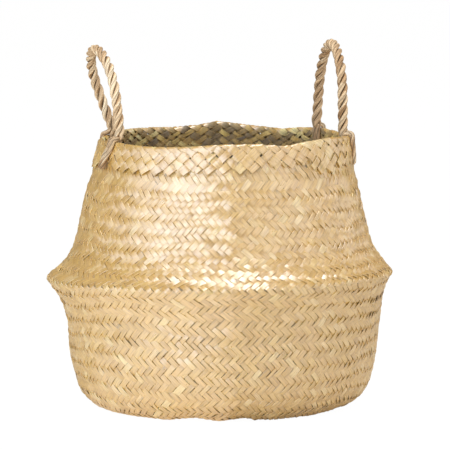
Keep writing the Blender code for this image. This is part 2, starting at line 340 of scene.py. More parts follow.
class Section:
    """A strip's section: shares of its width across and its thickness up, the outer side first.

    The two edges of the outer side take only a share of its paint, darkening each strip's long edges: partly the bare
    cut side, partly painted shade in the seams between strips.
    """

    def __init__(self, outer, inner, edge):
        points = [(x, y) for x, y in outer] + [(x, -0.5) for x in inner]
        half = len(outer)
        self.across = np.array([x for x, _ in points])
        self.up = np.array([y for _, y in points])
        self.sides = len(points)
        self.paint = np.array([1.0] * half + [0.1] * half)
        self.paint[[0, half - 1]] = edge
        self.corners = np.isin(np.arange(self.sides), (0, 1, half - 2, half - 1, half, self.sides - 1))
        self.pairs = [(i, self.sides - 1 - i) for i in range(half)]


# The edge paint shares darken the seams between neighbouring strips: painted shade as well as bare cut sides.
NARROW = Section([(-0.50, 0.20), (-0.455, 0.50), (0.455, 0.50), (0.50, 0.20)], (0.50, 0.30, -0.30, -0.50), 0.75)
BROAD = Section(
    [(-0.50, 0.20), (-0.46, 0.50), (-0.15, 0.50), (0.15, 0.50), (0.46, 0.50), (0.50, 0.20)],
    (0.50, 0.30, 0.10, -0.10, -0.30, -0.50), 0.25,
)


def strip_mesh(name, places, width, paint, tone, section):
    """Closed strips from the places of their sections, by strip, station and side."""
    strips, stations, sides = places.shape[:3]
    step = np.linalg.norm(np.diff(places.mean(axis=2), axis=1), axis=2)
    along = np.concatenate([np.zeros((strips, 1)), np.cumsum(step, axis=1)], 1)
    shape = (strips, stations, sides)
    run_at = np.stack([
        np.broadcast_to(section.across * width[..., None], shape),
        np.broadcast_to(along[..., None], shape),
        np.broadcast_to(tone[:, :1, 2][..., None], shape),
    ], -1)
    tones = np.broadcast_to(tone[:, :, None, :], (*shape, 3))
    quads = tube_quads(strips, stations, sides, section.pairs)
    return new_mesh(name, places.reshape(-1, 3), quads, {
        "paint": (paint[..., None] * section.paint).reshape(-1),
        "tone": tones.reshape(-1, 3), "run": run_at.reshape(-1, 3),
    }, WOVEN, section.corners, stations)


def flat_places(centre, outward, width, thick, roll):
    """The places of flat strips along their centre lines. The arrays go by strip and station."""
    run = np.gradient(centre, axis=1)
    run /= np.linalg.norm(run, axis=2)[..., None]
    side = np.cross(outward, run)
    side /= np.linalg.norm(side, axis=2)[..., None]
    up = np.cross(run, side)
    c, s = np.cos(roll)[..., None], np.sin(roll)[..., None]
    side, up = side * c + up * s, up * c - side * s
    across = NARROW.across[:, None] * width[..., None, None]
    rise = NARROW.up[:, None] * thick
    return centre[:, :, None, :] + across * side[:, :, None, :] + rise * up[:, :, None, :]


def folded_places(profile, angle, s, out, width, thick, roll):
    """The places of strips that lie along a profile, also across where it bends."""
    radius = profile.read(s)[0]
    run = np.stack([np.gradient(angle, axis=1) * radius, np.gradient(s, axis=1)], -1)
    run /= np.linalg.norm(run, axis=2)[..., None]
    off = BROAD.across * width[..., None]
    angle_at = angle[..., None] - off * run[..., 1:] / radius[..., None]
    s_at = np.clip(s[..., None] + off * run[..., :1], 0, profile.length[-1])
    out_at = out[..., None] + BROAD.up * thick + off * np.sin(roll)[..., None]
    return place(profile, angle_at, s_at, out_at)


# Materials


def new_material(name):
    """A material with its tree emptied, its shader and its output."""
    material = bpy.data.materials.new(name)
    material.use_nodes = True
    tree = material.node_tree
    tree.nodes.clear()
    output = tree.nodes.new("ShaderNodeOutputMaterial")
    shader = tree.nodes.new("ShaderNodeBsdfPrincipled")
    tree.links.new(shader.outputs[0], output.inputs[0])
    return material, tree, shader


def node(tree, kind, values=(), **settings):
    """Add a node. Its values are a socket's name and what it is given, a link or a number."""
    made = tree.nodes.new(kind)
    for key, value in settings.items():
        setattr(made, key, value)
    for key, value in values:
        socket = made.inputs[key]
        if isinstance(value, bpy.types.NodeSocket):
            tree.links.new(value, socket)
        else:
            socket.default_value = value
    return made


def ramp(tree, factor, stops):
    """A colour ramp with its stops: place and colour."""
    made = node(tree, "ShaderNodeValToRGB", [("Fac", factor)])
    elements = made.color_ramp.elements
    while len(elements) < len(stops):
        elements.new(0.5)
    for element, (at, colour) in zip(elements, stops):
        element.position = at
        element.color = (*colour, 1.0)
    return made.outputs["Color"]


def mix(tree, factor, first, second, blend="MIX"):
    """Mix two colours."""
    made = node(tree, "ShaderNodeMix", [], data_type="RGBA", blend_type=blend)
    for index, value in ((0, factor), (6, first), (7, second)):
        if isinstance(value, bpy.types.NodeSocket):
            tree.links.new(value, made.inputs[index])
        elif index == 0:
            made.inputs[0].default_value = value
        else:
            made.inputs[index].default_value = (*value, 1.0)
    return made.outputs[2]


def spread(tree, value, low, high):
    """Map 0 to 1 onto low to high."""
    return node(tree, "ShaderNodeMapRange", [("Value", value), ("To Min", low), ("To Max", high)]).outputs[0]


def noise(tree, run, scale, detail, roughness):
    """Noise along a strip: how often it changes across, along, and from strip to strip."""
    at = node(tree, "ShaderNodeVectorMath", [(0, run), (1, scale)], operation="MULTIPLY").outputs[0]
    return node(tree, "ShaderNodeTexNoise", [
        ("Vector", at), ("Scale", 1.0), ("Detail", detail), ("Roughness", roughness),
    ]).outputs["Fac"]


def seagrass(name, gold_stops, natural_stops):
    """Plaited seagrass: fibres along each strip, tones by strip and float, and paint outside, whose channel also
    carries painted shade.
    """
    material, tree, shader = new_material(name)
    run = node(tree, "ShaderNodeAttribute", attribute_name="run").outputs["Vector"]
    tone = node(tree, "ShaderNodeAttribute", attribute_name="tone").outputs["Vector"]
    paint = node(tree, "ShaderNodeAttribute", attribute_name="paint").outputs["Fac"]
    tones = node(tree, "ShaderNodeSeparateXYZ", [("Vector", tone)]).outputs
    fibres = noise(tree, run, (2600.0, 130.0, 40.0), 3.0, 0.6)
    streaks = noise(tree, run, (750.0, 50.0, 40.0), 2.0, 0.6)
    blotches = noise(tree, run, (160.0, 90.0, 40.0), 2.0, 0.5)

    gold = ramp(tree, tones[1], gold_stops)
    for factor, stops in (
        (tones[0], [(0.0, (1.0, 0.97, 0.96)), (0.5, (1, 1, 1)), (1.0, (1.0, 1.0, 0.90))]),
        (streaks, [(0.34, (0.80, 0.73, 0.60)), (0.58, (1.06, 1.06, 1.06))]),
        (fibres, [(0.28, (0.84, 0.80, 0.74)), (0.72, (1.07, 1.07, 1.07))]),
    ):
        gold = mix(tree, 1.0, gold, ramp(tree, factor, stops), "MULTIPLY")
    either = node(tree, "ShaderNodeMix", [(0, 0.6), (2, tones[0]), (3, tones[1])]).outputs[0]
    natural = ramp(tree, either, natural_stops)
    for factor, stops in (
        (fibres, [(0.3, (0.66, 0.66, 0.64)), (0.7, (1.15, 1.12, 1.05))]),
        (streaks, [(0.3, (0.62, 0.62, 0.58)), (0.65, (1.12, 1.10, 1.06))]),
        (blotches, [(0.3, (0.80, 0.82, 0.78)), (0.7, (1.08, 1.05, 1.0))]),
    ):
        natural = mix(tree, 1.0, natural, ramp(tree, factor, stops), "MULTIPLY")
    worn = node(tree, "ShaderNodeMath", [(0, blotches), (1, 0.16)], operation="SUBTRACT").outputs[0]
    worn = node(tree, "ShaderNodeMath", [(0, worn), (1, 6.0)], operation="MULTIPLY", use_clamp=True).outputs[0]
    cover = node(tree, "ShaderNodeMath", [(0, paint), (1, worn)], operation="MULTIPLY", use_clamp=True).outputs[0]
    # Low paint lets the natural colour through: bare seagrass, and on the outside also painted shade at float ends and
    # strip edges.
    tree.links.new(mix(tree, cover, natural, gold), shader.inputs["Base Color"])
    rough = spread(tree, blotches, 0.20, 0.42)
    rough = node(tree, "ShaderNodeMix", [(0, cover), (2, 0.85), (3, rough)]).outputs[0]
    tree.links.new(rough, shader.inputs["Roughness"])
    shader.inputs["IOR"].default_value = 2.15
    shader.inputs["Specular IOR Level"].default_value = 1.0
    bump = node(tree, "ShaderNodeBump", [("Height", streaks), ("Strength", 0.7), ("Distance", 0.0003)])
    bump = node(tree, "ShaderNodeBump", [
        ("Height", fibres), ("Strength", 0.35), ("Distance", 0.00016), ("Normal", bump.outputs[0]),
    ])
    tree.links.new(bump.outputs[0], shader.inputs["Normal"])
    return material


GOLD_STOPS = [
    (0.04, (0.62, 0.36, 0.050)), (0.32, (0.71, 0.43, 0.095)), (0.68, (0.77, 0.485, 0.132)),
    (0.94, (0.88, 0.65, 0.30)),
]
NATURAL_STOPS = [
    (0.15, (0.16, 0.090, 0.005)), (0.35, (0.37, 0.225, 0.024)), (0.52, (0.66, 0.41, 0.052)),
    (0.68, (0.92, 0.68, 0.17)), (0.84, (1.0, 0.90, 0.45)),
]
WOVEN = seagrass("plaited_seagrass", GOLD_STOPS, NATURAL_STOPS)


def rope_material():
    """Twisted seagrass: streaks along the stalks, tan with paler and pinker ones, and painted shade in the grooves
    between stalks and between strands.
    """
    material, tree, shader = new_material("rope_seagrass")
    run = node(tree, "ShaderNodeAttribute", attribute_name="run").outputs["Vector"]
    tone = node(tree, "ShaderNodeAttribute", attribute_name="tone").outputs["Vector"]
    groove_and_shade = node(tree, "ShaderNodeAttribute", attribute_name="groove_and_shade").outputs["Fac"]
    tones = node(tree, "ShaderNodeSeparateXYZ", [("Vector", tone)]).outputs
    fibre_at = node(tree, "ShaderNodeVectorMath", [(0, run), (1, (1900.0, 70.0, 40.0))], operation="MULTIPLY")
    fibres = node(tree, "ShaderNodeTexNoise", [
        ("Vector", fibre_at.outputs[0]), ("Scale", 1.0), ("Detail", 4.0), ("Roughness", 0.65),
    ]).outputs["Fac"]
    colour = ramp(tree, tones[0], [
        (0.0, (0.52, 0.32, 0.16)), (0.3, (0.74, 0.52, 0.305)), (0.7, (0.89, 0.68, 0.44)), (1.0, (1.0, 0.84, 0.61)),
    ])
    stalks = ramp(tree, fibres, [(0.34, (0.52, 0.43, 0.34)), (0.5, (1.02, 0.99, 0.95)), (0.64, (1.25, 1.24, 1.21))])
    colour = mix(tree, 1.0, colour, stalks, "MULTIPLY")
    # Painted shade: dark brown in the grooves between stalks and where the strands face each other.
    colour = mix(tree, groove_and_shade, colour, (0.09, 0.045, 0.018))
    tree.links.new(colour, shader.inputs["Base Color"])
    shader.inputs["Roughness"].default_value = 0.62
    bump = node(tree, "ShaderNodeBump", [("Height", fibres), ("Strength", 0.8), ("Distance", 0.0004)])
    tree.links.new(bump.outputs[0], shader.inputs["Normal"])
    return material


ROPE = rope_material()

# The walls' plaiting
WALL_STRIPS = 118
WALL_PARTS = 5
STRIP_PITCH = 0.0056
STRIP_GAP = 0.0001
STRIP_THICKNESS = 0.00085
LAYER = 0.00085
HEM_STEP = 0.0013
# How arched a float is, from 0 for flat to 1, and where its stations lie in each four rows
ARCH = 0.95
STATIONS = np.array([
    0.1, 0.5, 0.9, 1.2, 1.35, 1.5, 1.65, 1.8, 2.1, 2.5, 2.9, 3.2, 3.35, 3.5, 3.65, 3.8,
])


class Strips:
    """Where the strips of one family start round the basket, each with a width of its own."""

    def __init__(self, count, uneven, seed):
        rng = np.random.default_rng(seed)
        self.count = count
        self.share = np.clip(rng.normal(1, uneven, count), 0.62, 1.45)
        self.share *= count / self.share.sum()
        edges = np.concatenate([[0], np.cumsum(self.share)])
        self.middle = (edges[1:] + edges[:-1]) / 2
        turns = np.arange(-3, 4)[:, None]
        self.places = (self.middle[None, :] + turns * count).ravel()
        self.numbers = (np.arange(count)[None, :] + turns * count).ravel()

    def number_at(self, place):
        """The strip's number at a place round the basket, between strips in parts."""
        return np.interp(place, self.places, self.numbers)


def wall_profile():
    """The middle of the wall's thickness, from on the base mat's edge, round the foot and up."""
    rows = [(0.1130, 0.0043), (0.1195, 0.0038), (0.1245, 0.0016)]
    skin = spline(OUTLINE)
    body = inward(skin, WALL / 2 + HEM_STEP * smooth((skin[:, 1:2] - HEM_BOTTOM + 0.003) / 0.005))
    body = body[(body[:, 1] > 0.0030) & (body[:, 1] < HEM_BOTTOM + 0.014)]
    lead = spline(rows + [tuple(body[0])], 8)[:-1]
    return Profile(np.vstack([lead, body]))


def rows_along(profile, count, pitch, steps=4000):
    """How many crossing rows lie below each length, given the strips' width at each length."""
    s = np.linspace(0, profile.length[-1], steps)
    across = 2 * math.pi * profile.read(s)[0] / count
    sine = np.clip(pitch(s) / across, 0.05, 0.97)
    slope = sine / np.sqrt(1 - sine ** 2)
    rate = 2 / (across * slope)
    rows = np.concatenate([[0], np.cumsum((rate[1:] + rate[:-1]) / 2 * np.diff(s))])
    return s, rows


def twill(crossing):
    """How high a rising strip lies: over two strips, then under two, each float arched."""
    wave = np.cos((crossing - 0.5) * math.pi / 2)
    return np.sign(wave) * np.abs(wave) ** ARCH


def row_stations(own, other, sign, rows):
    """The rows of each strip's stations, closer together where it dips, and its crossings there."""
    number = np.arange(own.count)[:, None]
    dense = np.linspace(0, rows, 1600)
    crossings = sign * (other.number_at(own.middle[:, None] + sign * dense[None, :]) - number)
    low, high = crossings[:, :1], crossings[:, -1:]
    wanted = (np.arange(-4, rows // 4 + 2)[:, None] * 4 + STATIONS).ravel()
    wanted = wanted[(wanted > low.max() + 0.05) & (wanted < high.min() - 0.05)]
    inner = np.stack([np.interp(wanted, line, dense) for line in crossings])
    ends = np.zeros((own.count, 1)), np.full((own.count, 1), float(rows))
    all_crossings = np.hstack([low, np.broadcast_to(wanted, inner.shape), high])
    return np.hstack([ends[0], inner, ends[1]]), all_crossings


def by_float(crossings, every, rng):
    """A random number for each float of each strip, from 0 to 1."""
    number = np.floor(crossings / every).astype(int)
    number = number - number.min()
    table = rng.uniform(0, 1, (crossings.shape[0], number.max() + 1))
    return np.take_along_axis(table, number, axis=1)


def tones_of(crossings, every, seed):
    """Random numbers for each strip: one for all of it, one for each float, and an offset."""
    rng = np.random.default_rng(seed)
    strips = crossings.shape[0]
    whole = rng.uniform(0, 1, (strips, 1))
    mixed = 0.65 * by_float(crossings, every, rng) + 0.35 * rng.uniform(0, 1, (strips, 1))
    offset = rng.uniform(0, 900, (strips, 1))
    shape = crossings.shape
    return np.stack([np.broadcast_to(whole, shape), mixed, np.broadcast_to(offset, shape)], -1)


def drift(rows, every, seed):
    """Smooth random curves along each strip, with a new value every so many rows."""
    rng = np.random.default_rng(seed)
    at = (rows - rows.min()) / every
    low = np.floor(at).astype(int)
    table = rng.normal(0, 1, (rows.shape[0], low.max() + 2))
    share = smooth(at - low)
    first = np.take_along_axis(table, low, axis=1)
    return first * (1 - share) + np.take_along_axis(table, low + 1, axis=1) * share


def warp(angle, s, profile):
    """How far the plaiting's rows are pushed up the wall at a place."""
    height = profile.read(s)[1]
    ease = smooth((height - 0.02) / 0.09) * (1 - smooth((height - 0.19) / 0.05))
    front = -np.sin(angle) * (0.0065 * (1 - smooth((height - 0.13) / 0.05)) + 0.0045 * smooth((height - 0.13) / 0.05))
    uneven = waves(angle, 11, (2, 3, 5), 0.0011) + waves(angle + height * 9, 12, (6, 9, 13), 0.0006)
    return (front + uneven) * ease


def wall_strips():
    """All strips of the wall, from the base to under the hem, in five pieces for each family."""
    profile = wall_profile()
    table_s, table_rows = rows_along(profile, WALL_STRIPS, lambda s: STRIP_PITCH)
    spacing = 2 * math.pi / WALL_STRIPS
    rising = Strips(WALL_STRIPS, 0.17, 41)
    falling = Strips(WALL_STRIPS, 0.17, 42)
    for family, own, other, sign in (("rising", rising, falling, 1), ("falling", falling, rising, -1)):
        seed = 100 if sign > 0 else 200
        rows, crossings = row_stations(own, other, sign, table_rows[-1])
        s = np.interp(rows, table_rows, table_s)
        level = sign * twill(crossings)
        slip = drift(rows, 7, seed) * 0.00025
        angle = (own.middle[:, None] + sign * rows / 2) * spacing + slip / profile.read(s)[0]
        lift = level * LAYER * (1 + 0.08 * drift(rows, 2, seed + 2)) + drift(rows, 3, seed + 3) * 0.00008
        s = s + warp(angle, s, profile)
        height = profile.read(s)[1]
        near_hem = smooth((height - HEM_BOTTOM + 0.022) / 0.012)
        foot = np.exp(-(((height - 0.008) / 0.007) ** 2))
        lift = lift * (1 - 0.45 * near_hem)
        centre = place(profile, angle, s, lift)
        across, up = profile.read(s)[2:]
        outward = np.stack([across * np.cos(angle), across * np.sin(angle), up], -1)
        open_up = np.clip(drift(rows, 4, seed + 5), 0, 2.4) ** 2
        width = STRIP_PITCH * own.share[:, None] - STRIP_GAP * (1 + 2.2 * open_up)
        width = width + 0.0003 * near_hem - np.minimum(0.0007 * foot * (1 + 1.4 * open_up), 0.0034)
        shifted = crossings + (1 if sign > 0 else 3)
        tilt = by_float(shifted, 4, np.random.default_rng(seed + 9)) * 2 - 1
        roll = np.radians(8.5) * tilt + np.radians(3.0) * drift(rows, 2, seed + 6)
        tone = tones_of(shifted, 4, seed + 7)
        # Paint falls off where a strip dips under its crossing strip: partly bare seagrass on hidden parts, partly
        # painted shade darkening the visible float ends.
        paint = 0.3 + 0.7 * smooth((level + 0.50) / 0.7)
        for part in range(WALL_PARTS):
            chosen = slice(part * WALL_STRIPS // WALL_PARTS, (part + 1) * WALL_STRIPS // WALL_PARTS)
            places = flat_places(centre[chosen], outward[chosen], width[chosen], STRIP_THICKNESS, roll[chosen])
            name = f"wall_{family}_strips_{part + 1}"
            piece = strip_mesh(name, places, width[chosen], paint[chosen], tone[chosen], NARROW)
            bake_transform(piece)
            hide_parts("lower_wall", "belly_fold", "upper_wall")


# The rim's coarser plaiting
RIM_STRIPS = 59
RIM_PARTS = 2
RIM_STATIONS = 110
RIM_PITCH = 0.0092
CROWN_PITCH = 0.0068
INNER_PITCH = 0.0070
INNER_GAP = 0.0013
RIM_GAP = 0.0010
# How much narrower the strips are in the hem's last row, as a share
SLIT = 0.16
RIM_STRIP_THICKNESS = 0.0009
RIM_LAYER = 0.00064
# How high above the hem's lower edge the last crossing lies, how far below it the strip on top
# and the one under it end, and how far the hem reaches below that edge at its longest teeth
LAST_CROSSING = 0.0062
TOP_END = 0.0036
UNDER_END = 0.0016
LONGEST_TOOTH = 0.0080
# From which azimuth on, in degrees, the last row of blocks stands how many rows higher
LAST_ROWS = [(-180, 0), (-160, 1), (-148, 0), (-74, 1), (-51, 0), (-42, -1), (-32, 0), (20, 1), (48, 0), (110, 1), (128, 0)]


def rim_profile():
    """The middle of the rim's plaiting: up its outer side, over the top and down inside."""
    heights = np.linspace(HEM_BOTTOM - LONGEST_TOOTH, RIM_HEIGHT - 0.0030, 34)
    skin = outer_radius(heights)
    above = heights - HEM_BOTTOM
    outer_depth = np.interp(above, (-LONGEST_TOOTH, -0.003, 0, 0.02), (-0.0012, -0.0007, 0.0002, 0.0010))
    inner_depth = RIM_THICKNESS - 0.0010
    outside = np.stack([skin - outer_depth, heights], 1)
    inside = np.stack([skin - inner_depth, heights], 1)
    turn = (inner_depth - outer_depth[-1]) / 2
    middle = (outside[-1] + inside[-1]) / 2
    arc = [
        (middle[0] + turn * math.cos(a), middle[1] + 1.1 * turn * math.sin(a))
        for a in np.linspace(0, math.pi, 9)[1:-1]
    ]
    return Profile(spline(np.vstack([outside, arc, inside[::-1]]), 6))


def last_row(azimuth):
    """By how many rows the last row of blocks stands higher at an azimuth."""
    starts = np.radians([degrees for degrees, _ in LAST_ROWS])
    return np.array([row for _, row in LAST_ROWS])[np.searchsorted(starts, around(azimuth), "right") - 1]


def rim_strips():
    """The coarse strips of the rim, over one and under one, turned over its top."""
    profile = rim_profile()
    crown = profile.length[np.argmax(profile.points[:, 1])]

    def pitch(s):
        """The strips' width: narrower over the crown and down inside."""
        return np.interp(s - crown, (-0.009, -0.002, 0.002, 0.006), (RIM_PITCH, CROWN_PITCH, CROWN_PITCH, INNER_PITCH))

    table_s, table_rows = rows_along(profile, RIM_STRIPS, pitch)
    table_rows = table_rows - np.interp(LONGEST_TOOTH + LAST_CROSSING, table_s, table_rows)
    total = profile.length[-1]
    spacing = 2 * math.pi / RIM_STRIPS
    rising = Strips(RIM_STRIPS, 0.12, 51)
    falling = Strips(RIM_STRIPS, 0.12, 52)
    number = np.arange(RIM_STRIPS)[:, None]
    for family, own, other, sign in (("rising", rising, falling, 1), ("falling", falling, rising, -1)):
        seed = 300 if sign > 0 else 400
        rng = np.random.default_rng(seed + 2)
        first = last_row(own.middle[:, None] * spacing)
        on_top = (first % 2 == 0) == (sign > 0)
        start = np.interp(first, table_rows, table_s) - np.where(on_top, TOP_END, UNDER_END)
        start = np.maximum(start + rng.normal(0, 0.0005, start.shape), 0.0002)
        share = np.linspace(0, 1, RIM_STATIONS)[None, :]
        s = start + (total - start) * share
        rows = np.interp(s, table_s, table_rows)
        crossings = sign * (other.number_at(own.middle[:, None] + sign * rows) - number)
        wave = sign * np.cos(math.pi * crossings)
        flat = 1 - 0.55 * np.exp(-(((s - crown) / 0.004) ** 2))
        level = np.sign(wave) * np.abs(wave) ** 0.55
        over_top = np.exp(-(((s - crown) / 0.0034) ** 4))
        level = level * (1 - over_top) - sign * over_top
        slip = drift(rows, 3, seed) * 0.0005
        angle = (own.middle[:, None] + sign * rows / 2) * spacing + slip / profile.read(s)[0]
        loose = rng.uniform(0.0001, 0.0011, start.shape) * on_top * (1 - smooth((s - start) / 0.008))
        inside = smooth((s - crown - 0.002) / 0.004)
        lift = level * RIM_LAYER * (flat + 0.35 * inside) + drift(rows, 2, seed + 1) * 0.00012 + loose
        uneven = waves(angle, 31, (5, 8, 13), 0.0007) * (1 - smooth((s - LONGEST_TOOTH - 0.012) / 0.02))
        s_here = np.clip(s + uneven, 0, total)
        wider = 1 + 0.28 * np.exp(-(((s - crown) / 0.0045) ** 2))
        wedge = rng.uniform(0, 1, start.shape) * (sign < 0) * np.exp(-(((s - crown + 0.0058) / 0.0022) ** 2))
        wider = wider - 0.32 * wedge
        open_up = np.clip(drift(rows, 1.5, seed + 8) - 0.4, 0, 2) ** 2
        width = (pitch(s) * own.share[:, None] - RIM_GAP * (1 + open_up) - INNER_GAP * inside) * wider
        width = width * (1 - SLIT * rng.uniform(0.3, 1, start.shape) * (1 - smooth((s - start - 0.002) / 0.006)))
        shifted = crossings + 0.5 + (0 if sign > 0 else 1)
        tilt = by_float(shifted, 2, np.random.default_rng(seed + 9)) * 2 - 1
        roll = (np.radians(3.0) * tilt + np.radians(1.5) * drift(rows, 1, seed + 3)) * flat
        roll = roll - np.radians(4.5) * (sign < 0) * np.exp(-(((s - crown - 0.001) / 0.0040) ** 4))
        roll = roll + np.radians(9.0) * wedge
        tone = tones_of(shifted, 2, seed + 4)
        edge = crown + 0.0009 + 0.0010 * drift(rows, 2, seed + 7)
        outside = 1 - smooth((s - edge) / 0.0016)
        seen = np.maximum(smooth((level + 1.05) / 0.7), 1 - smooth((s - start) / 0.005))
        paint = outside * np.maximum(seen, (sign < 0) * np.exp(-(((s - crown) / 0.006) ** 2)))
        for part in range(RIM_PARTS):
            chosen = slice(part * RIM_STRIPS // RIM_PARTS, (part + 1) * RIM_STRIPS // RIM_PARTS)
            places = folded_places(
                profile, angle[chosen], s_here[chosen], lift[chosen], width[chosen], RIM_STRIP_THICKNESS, roll[chosen],
            )
            name = f"rim_{family}_strips_{part + 1}"
            piece = strip_mesh(name, places, width[chosen], paint[chosen], tone[chosen], BROAD)
            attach(piece, "rim")
            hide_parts("rim_band", "rim_hem")


# The base mat
MAT_RADIUS = 0.1200
MAT_PITCH = 0.0052
MAT_MIDDLE = 0.0017
MAT_WIDTH = 0.0050
MAT_LAYER = 0.0004
MAT_THICKNESS = 0.0008
MAT_STATIONS = 4


def base_strips():
    """The flat bottom: straight strips both ways, over two and under two, cut to a disc."""
    half = int(MAT_RADIUS / MAT_PITCH)
    index = np.arange(-half, half + 1)[:, None]
    offset = index * MAT_PITCH
    reach = np.sqrt(np.maximum(MAT_RADIUS ** 2 - (np.abs(offset) + MAT_PITCH / 2) ** 2, 0.004 ** 2))
    stations = int(2 * MAT_RADIUS / MAT_PITCH * MAT_STATIONS)
    along = np.linspace(-1, 1, stations)[None, :] * reach
    for name, seed, sign in (("base_cross_strips", 500, 1), ("base_long_strips", 520, -1)):
        rng = np.random.default_rng(seed)
        level = sign * twill(sign * (along / MAT_PITCH - index))
        across = offset + rng.normal(0, 0.00015, offset.shape) + 0 * along
        x, y = (along, across) if sign > 0 else (across, along)
        lump = np.interp(np.arctan2(y, x), LUMP_AT, LUMP_UP) * smooth((np.hypot(x, y) - 0.098) / 0.022)
        centre = np.stack([x, y, MAT_MIDDLE + lump + level * MAT_LAYER], -1)
        outward = np.broadcast_to(np.array([0, 0, -1.0]), centre.shape)
        width = MAT_WIDTH * rng.normal(1, 0.03, offset.shape) + 0 * along
        roll = np.radians(2) * drift(along / MAT_PITCH, 2, seed + 1)
        tone = tones_of(along / MAT_PITCH, 4, seed + 2)
        places = flat_places(centre, outward, width, MAT_THICKNESS, roll)
        piece = strip_mesh(name, places, width, 0 * along, tone, NARROW)
        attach(piece, "basket")
        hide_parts("base_mat")


wall_strips()
rim_strips()
base_strips()

# Ropes
STRAND_SIDES = 16
STRAND_STEP = 0.0009
# How much thicker the loose rope is than the tight one of the CAD, and its turns foot to foot
ROPE_SWELL = 1.06
TURNS = 6 + 2 / 3
# Where the three strands draw together below the hinge: share of the offset, drop and radius
STRAND_END = (0.80, 0.42, 0.95)


def rim_point(radius, azimuth, height):
    """A place round the basket's own centre at that height, with the rim's waves in it."""
    x = lean_at(np.float64(height)) + radius * math.cos(azimuth)
    return np.array([x, radius * math.sin(azimuth), height])


def on_rim(places):
    """Places on the rim, moved with its waves."""
    moved = []
    for spot in places:
        wave = float(np.interp(math.atan2(spot[1], spot[0]), WAVE_AT, WAVE_UP))
        moved.append(spot + np.array([0, 0, wave * float(smooth((spot[2] - 0.19) / (RIM_HEIGHT - 0.19)))]))
    return moved


def loop_place(handle, distance):
    """Follow a handle's centre line: its place, heading and outward direction."""
    half = handle["chord"] / 2
    arch = math.pi * half
    if distance < LEG_LENGTH:
        across, up, turn = -half, distance, 0.0
    elif distance < LEG_LENGTH + arch:
        turn = (distance - LEG_LENGTH) / half
        across, up = -half * math.cos(turn), LEG_LENGTH + half * math.sin(turn)
    else:
        across, up, turn = half, 2 * LEG_LENGTH + arch - distance, math.pi
    lean = handle["lean"]
    twist = handle["twist"] * max(up / (LEG_LENGTH + half), 0) ** 0.8
    out = np.array([math.cos(handle["azimuth"]), math.sin(handle["azimuth"]), 0])
    side = np.array([-out[1], out[0], 0])
    rise = out * math.sin(lean) + np.array([0, 0, math.cos(lean)])
    along = side * math.cos(twist) + out * math.sin(twist)
    centre = rim_point(math.sqrt(FOOT_RADIUS ** 2 - half ** 2), handle["azimuth"], HINGE_HEIGHT)
    heading = along * math.sin(turn) + rise * math.cos(turn)
    return centre + along * across + rise * up, heading, np.cross(along, rise)


def rim_shoulder():
    """The height where the rim's rounded top starts, outside."""
    return RIM_HEIGHT - 0.40 * RIM_THICKNESS


def outer_tail(azimuth, slant, offset):
    """A strand's places from over the rim down its outer side."""
    above = STRAND_RADIUS + GAP
    low = RIM_HEIGHT + above
    rise = HINGE_HEIGHT - low - STRAND_RADIUS
    start = FOOT_RADIUS + math.sqrt((SWING_RADIUS + GAP) ** 2 - rise ** 2)
    shoulder = rim_shoulder()
    out, down = TURN_SHARES
    corner = (float(outer_radius(shoulder)) + above - start) * out
    points = [(start, low, 0.0), (start + corner, low - corner * down, 0.0)]
    for i in range(TAIL_POINTS):
        share = i / (TAIL_POINTS - 1)
        height = shoulder - share * TAIL_DROP
        points.append((float(outer_radius(height)) + above, height, share))
    return on_rim([
        rim_point(radius, azimuth + slant * share + offset / RIM_RADIUS, height)
        for radius, height, share in points
    ])


def inner_tail(azimuth, offset):
    """A strand's places from under the hinge down the rim's inner side."""
    off_wall = RIM_THICKNESS + STRAND_RADIUS + GAP
    top = HINGE_HEIGHT - SWING_RADIUS - GAP
    places = []
    for i in range(TAIL_POINTS):
        height = top - i / (TAIL_POINTS - 1) * TAIL_DROP
        radius = float(outer_radius(height)) - off_wall
        places.append(rim_point(radius, azimuth + offset / FOOT_RADIUS, height))
    return on_rim(places)


def loop_points(handle, strand):
    """The places of one strand round the handle's centre line, and which way that line lies."""
    length = 2 * LEG_LENGTH + math.pi * handle["chord"] / 2
    count = round(TURNS * POINTS_PER_TURN * 2)
    steps = [(i / count, 1.0, 0.0) for i in range(count + 1)]
    ends = [(0.0, *STRAND_END[:2])], [(1.0, *STRAND_END[:2])]
    places, inward = [], []
    for share, spread_out, drop in ends[0] + steps + ends[1]:
        middle, heading, outward = loop_place(handle, share * length)
        angle = strand * 2 * math.pi / STRANDS + share * TURNS * 2 * math.pi
        ray = outward * math.cos(angle) + np.cross(heading, outward) * math.sin(angle)
        below = heading * (-1 if share < 0.5 else 1) * drop * SWING_RADIUS
        places.append(middle + ray * spread_out * STRAND_OFFSET * ROPE_SWELL + below)
        inward.append(-ray)
    return places, inward


def even(points, step):
    """A smooth curve through points, cut into even steps."""
    curve = spline(points, 12)
    length = np.concatenate([[0], np.cumsum(np.linalg.norm(np.diff(curve, axis=0), axis=1))])
    count = max(int(length[-1] / step), 8)
    at = np.linspace(0, length[-1], count + 1)
    return np.stack([np.interp(at, length, curve[:, k]) for k in range(3)], 1), at


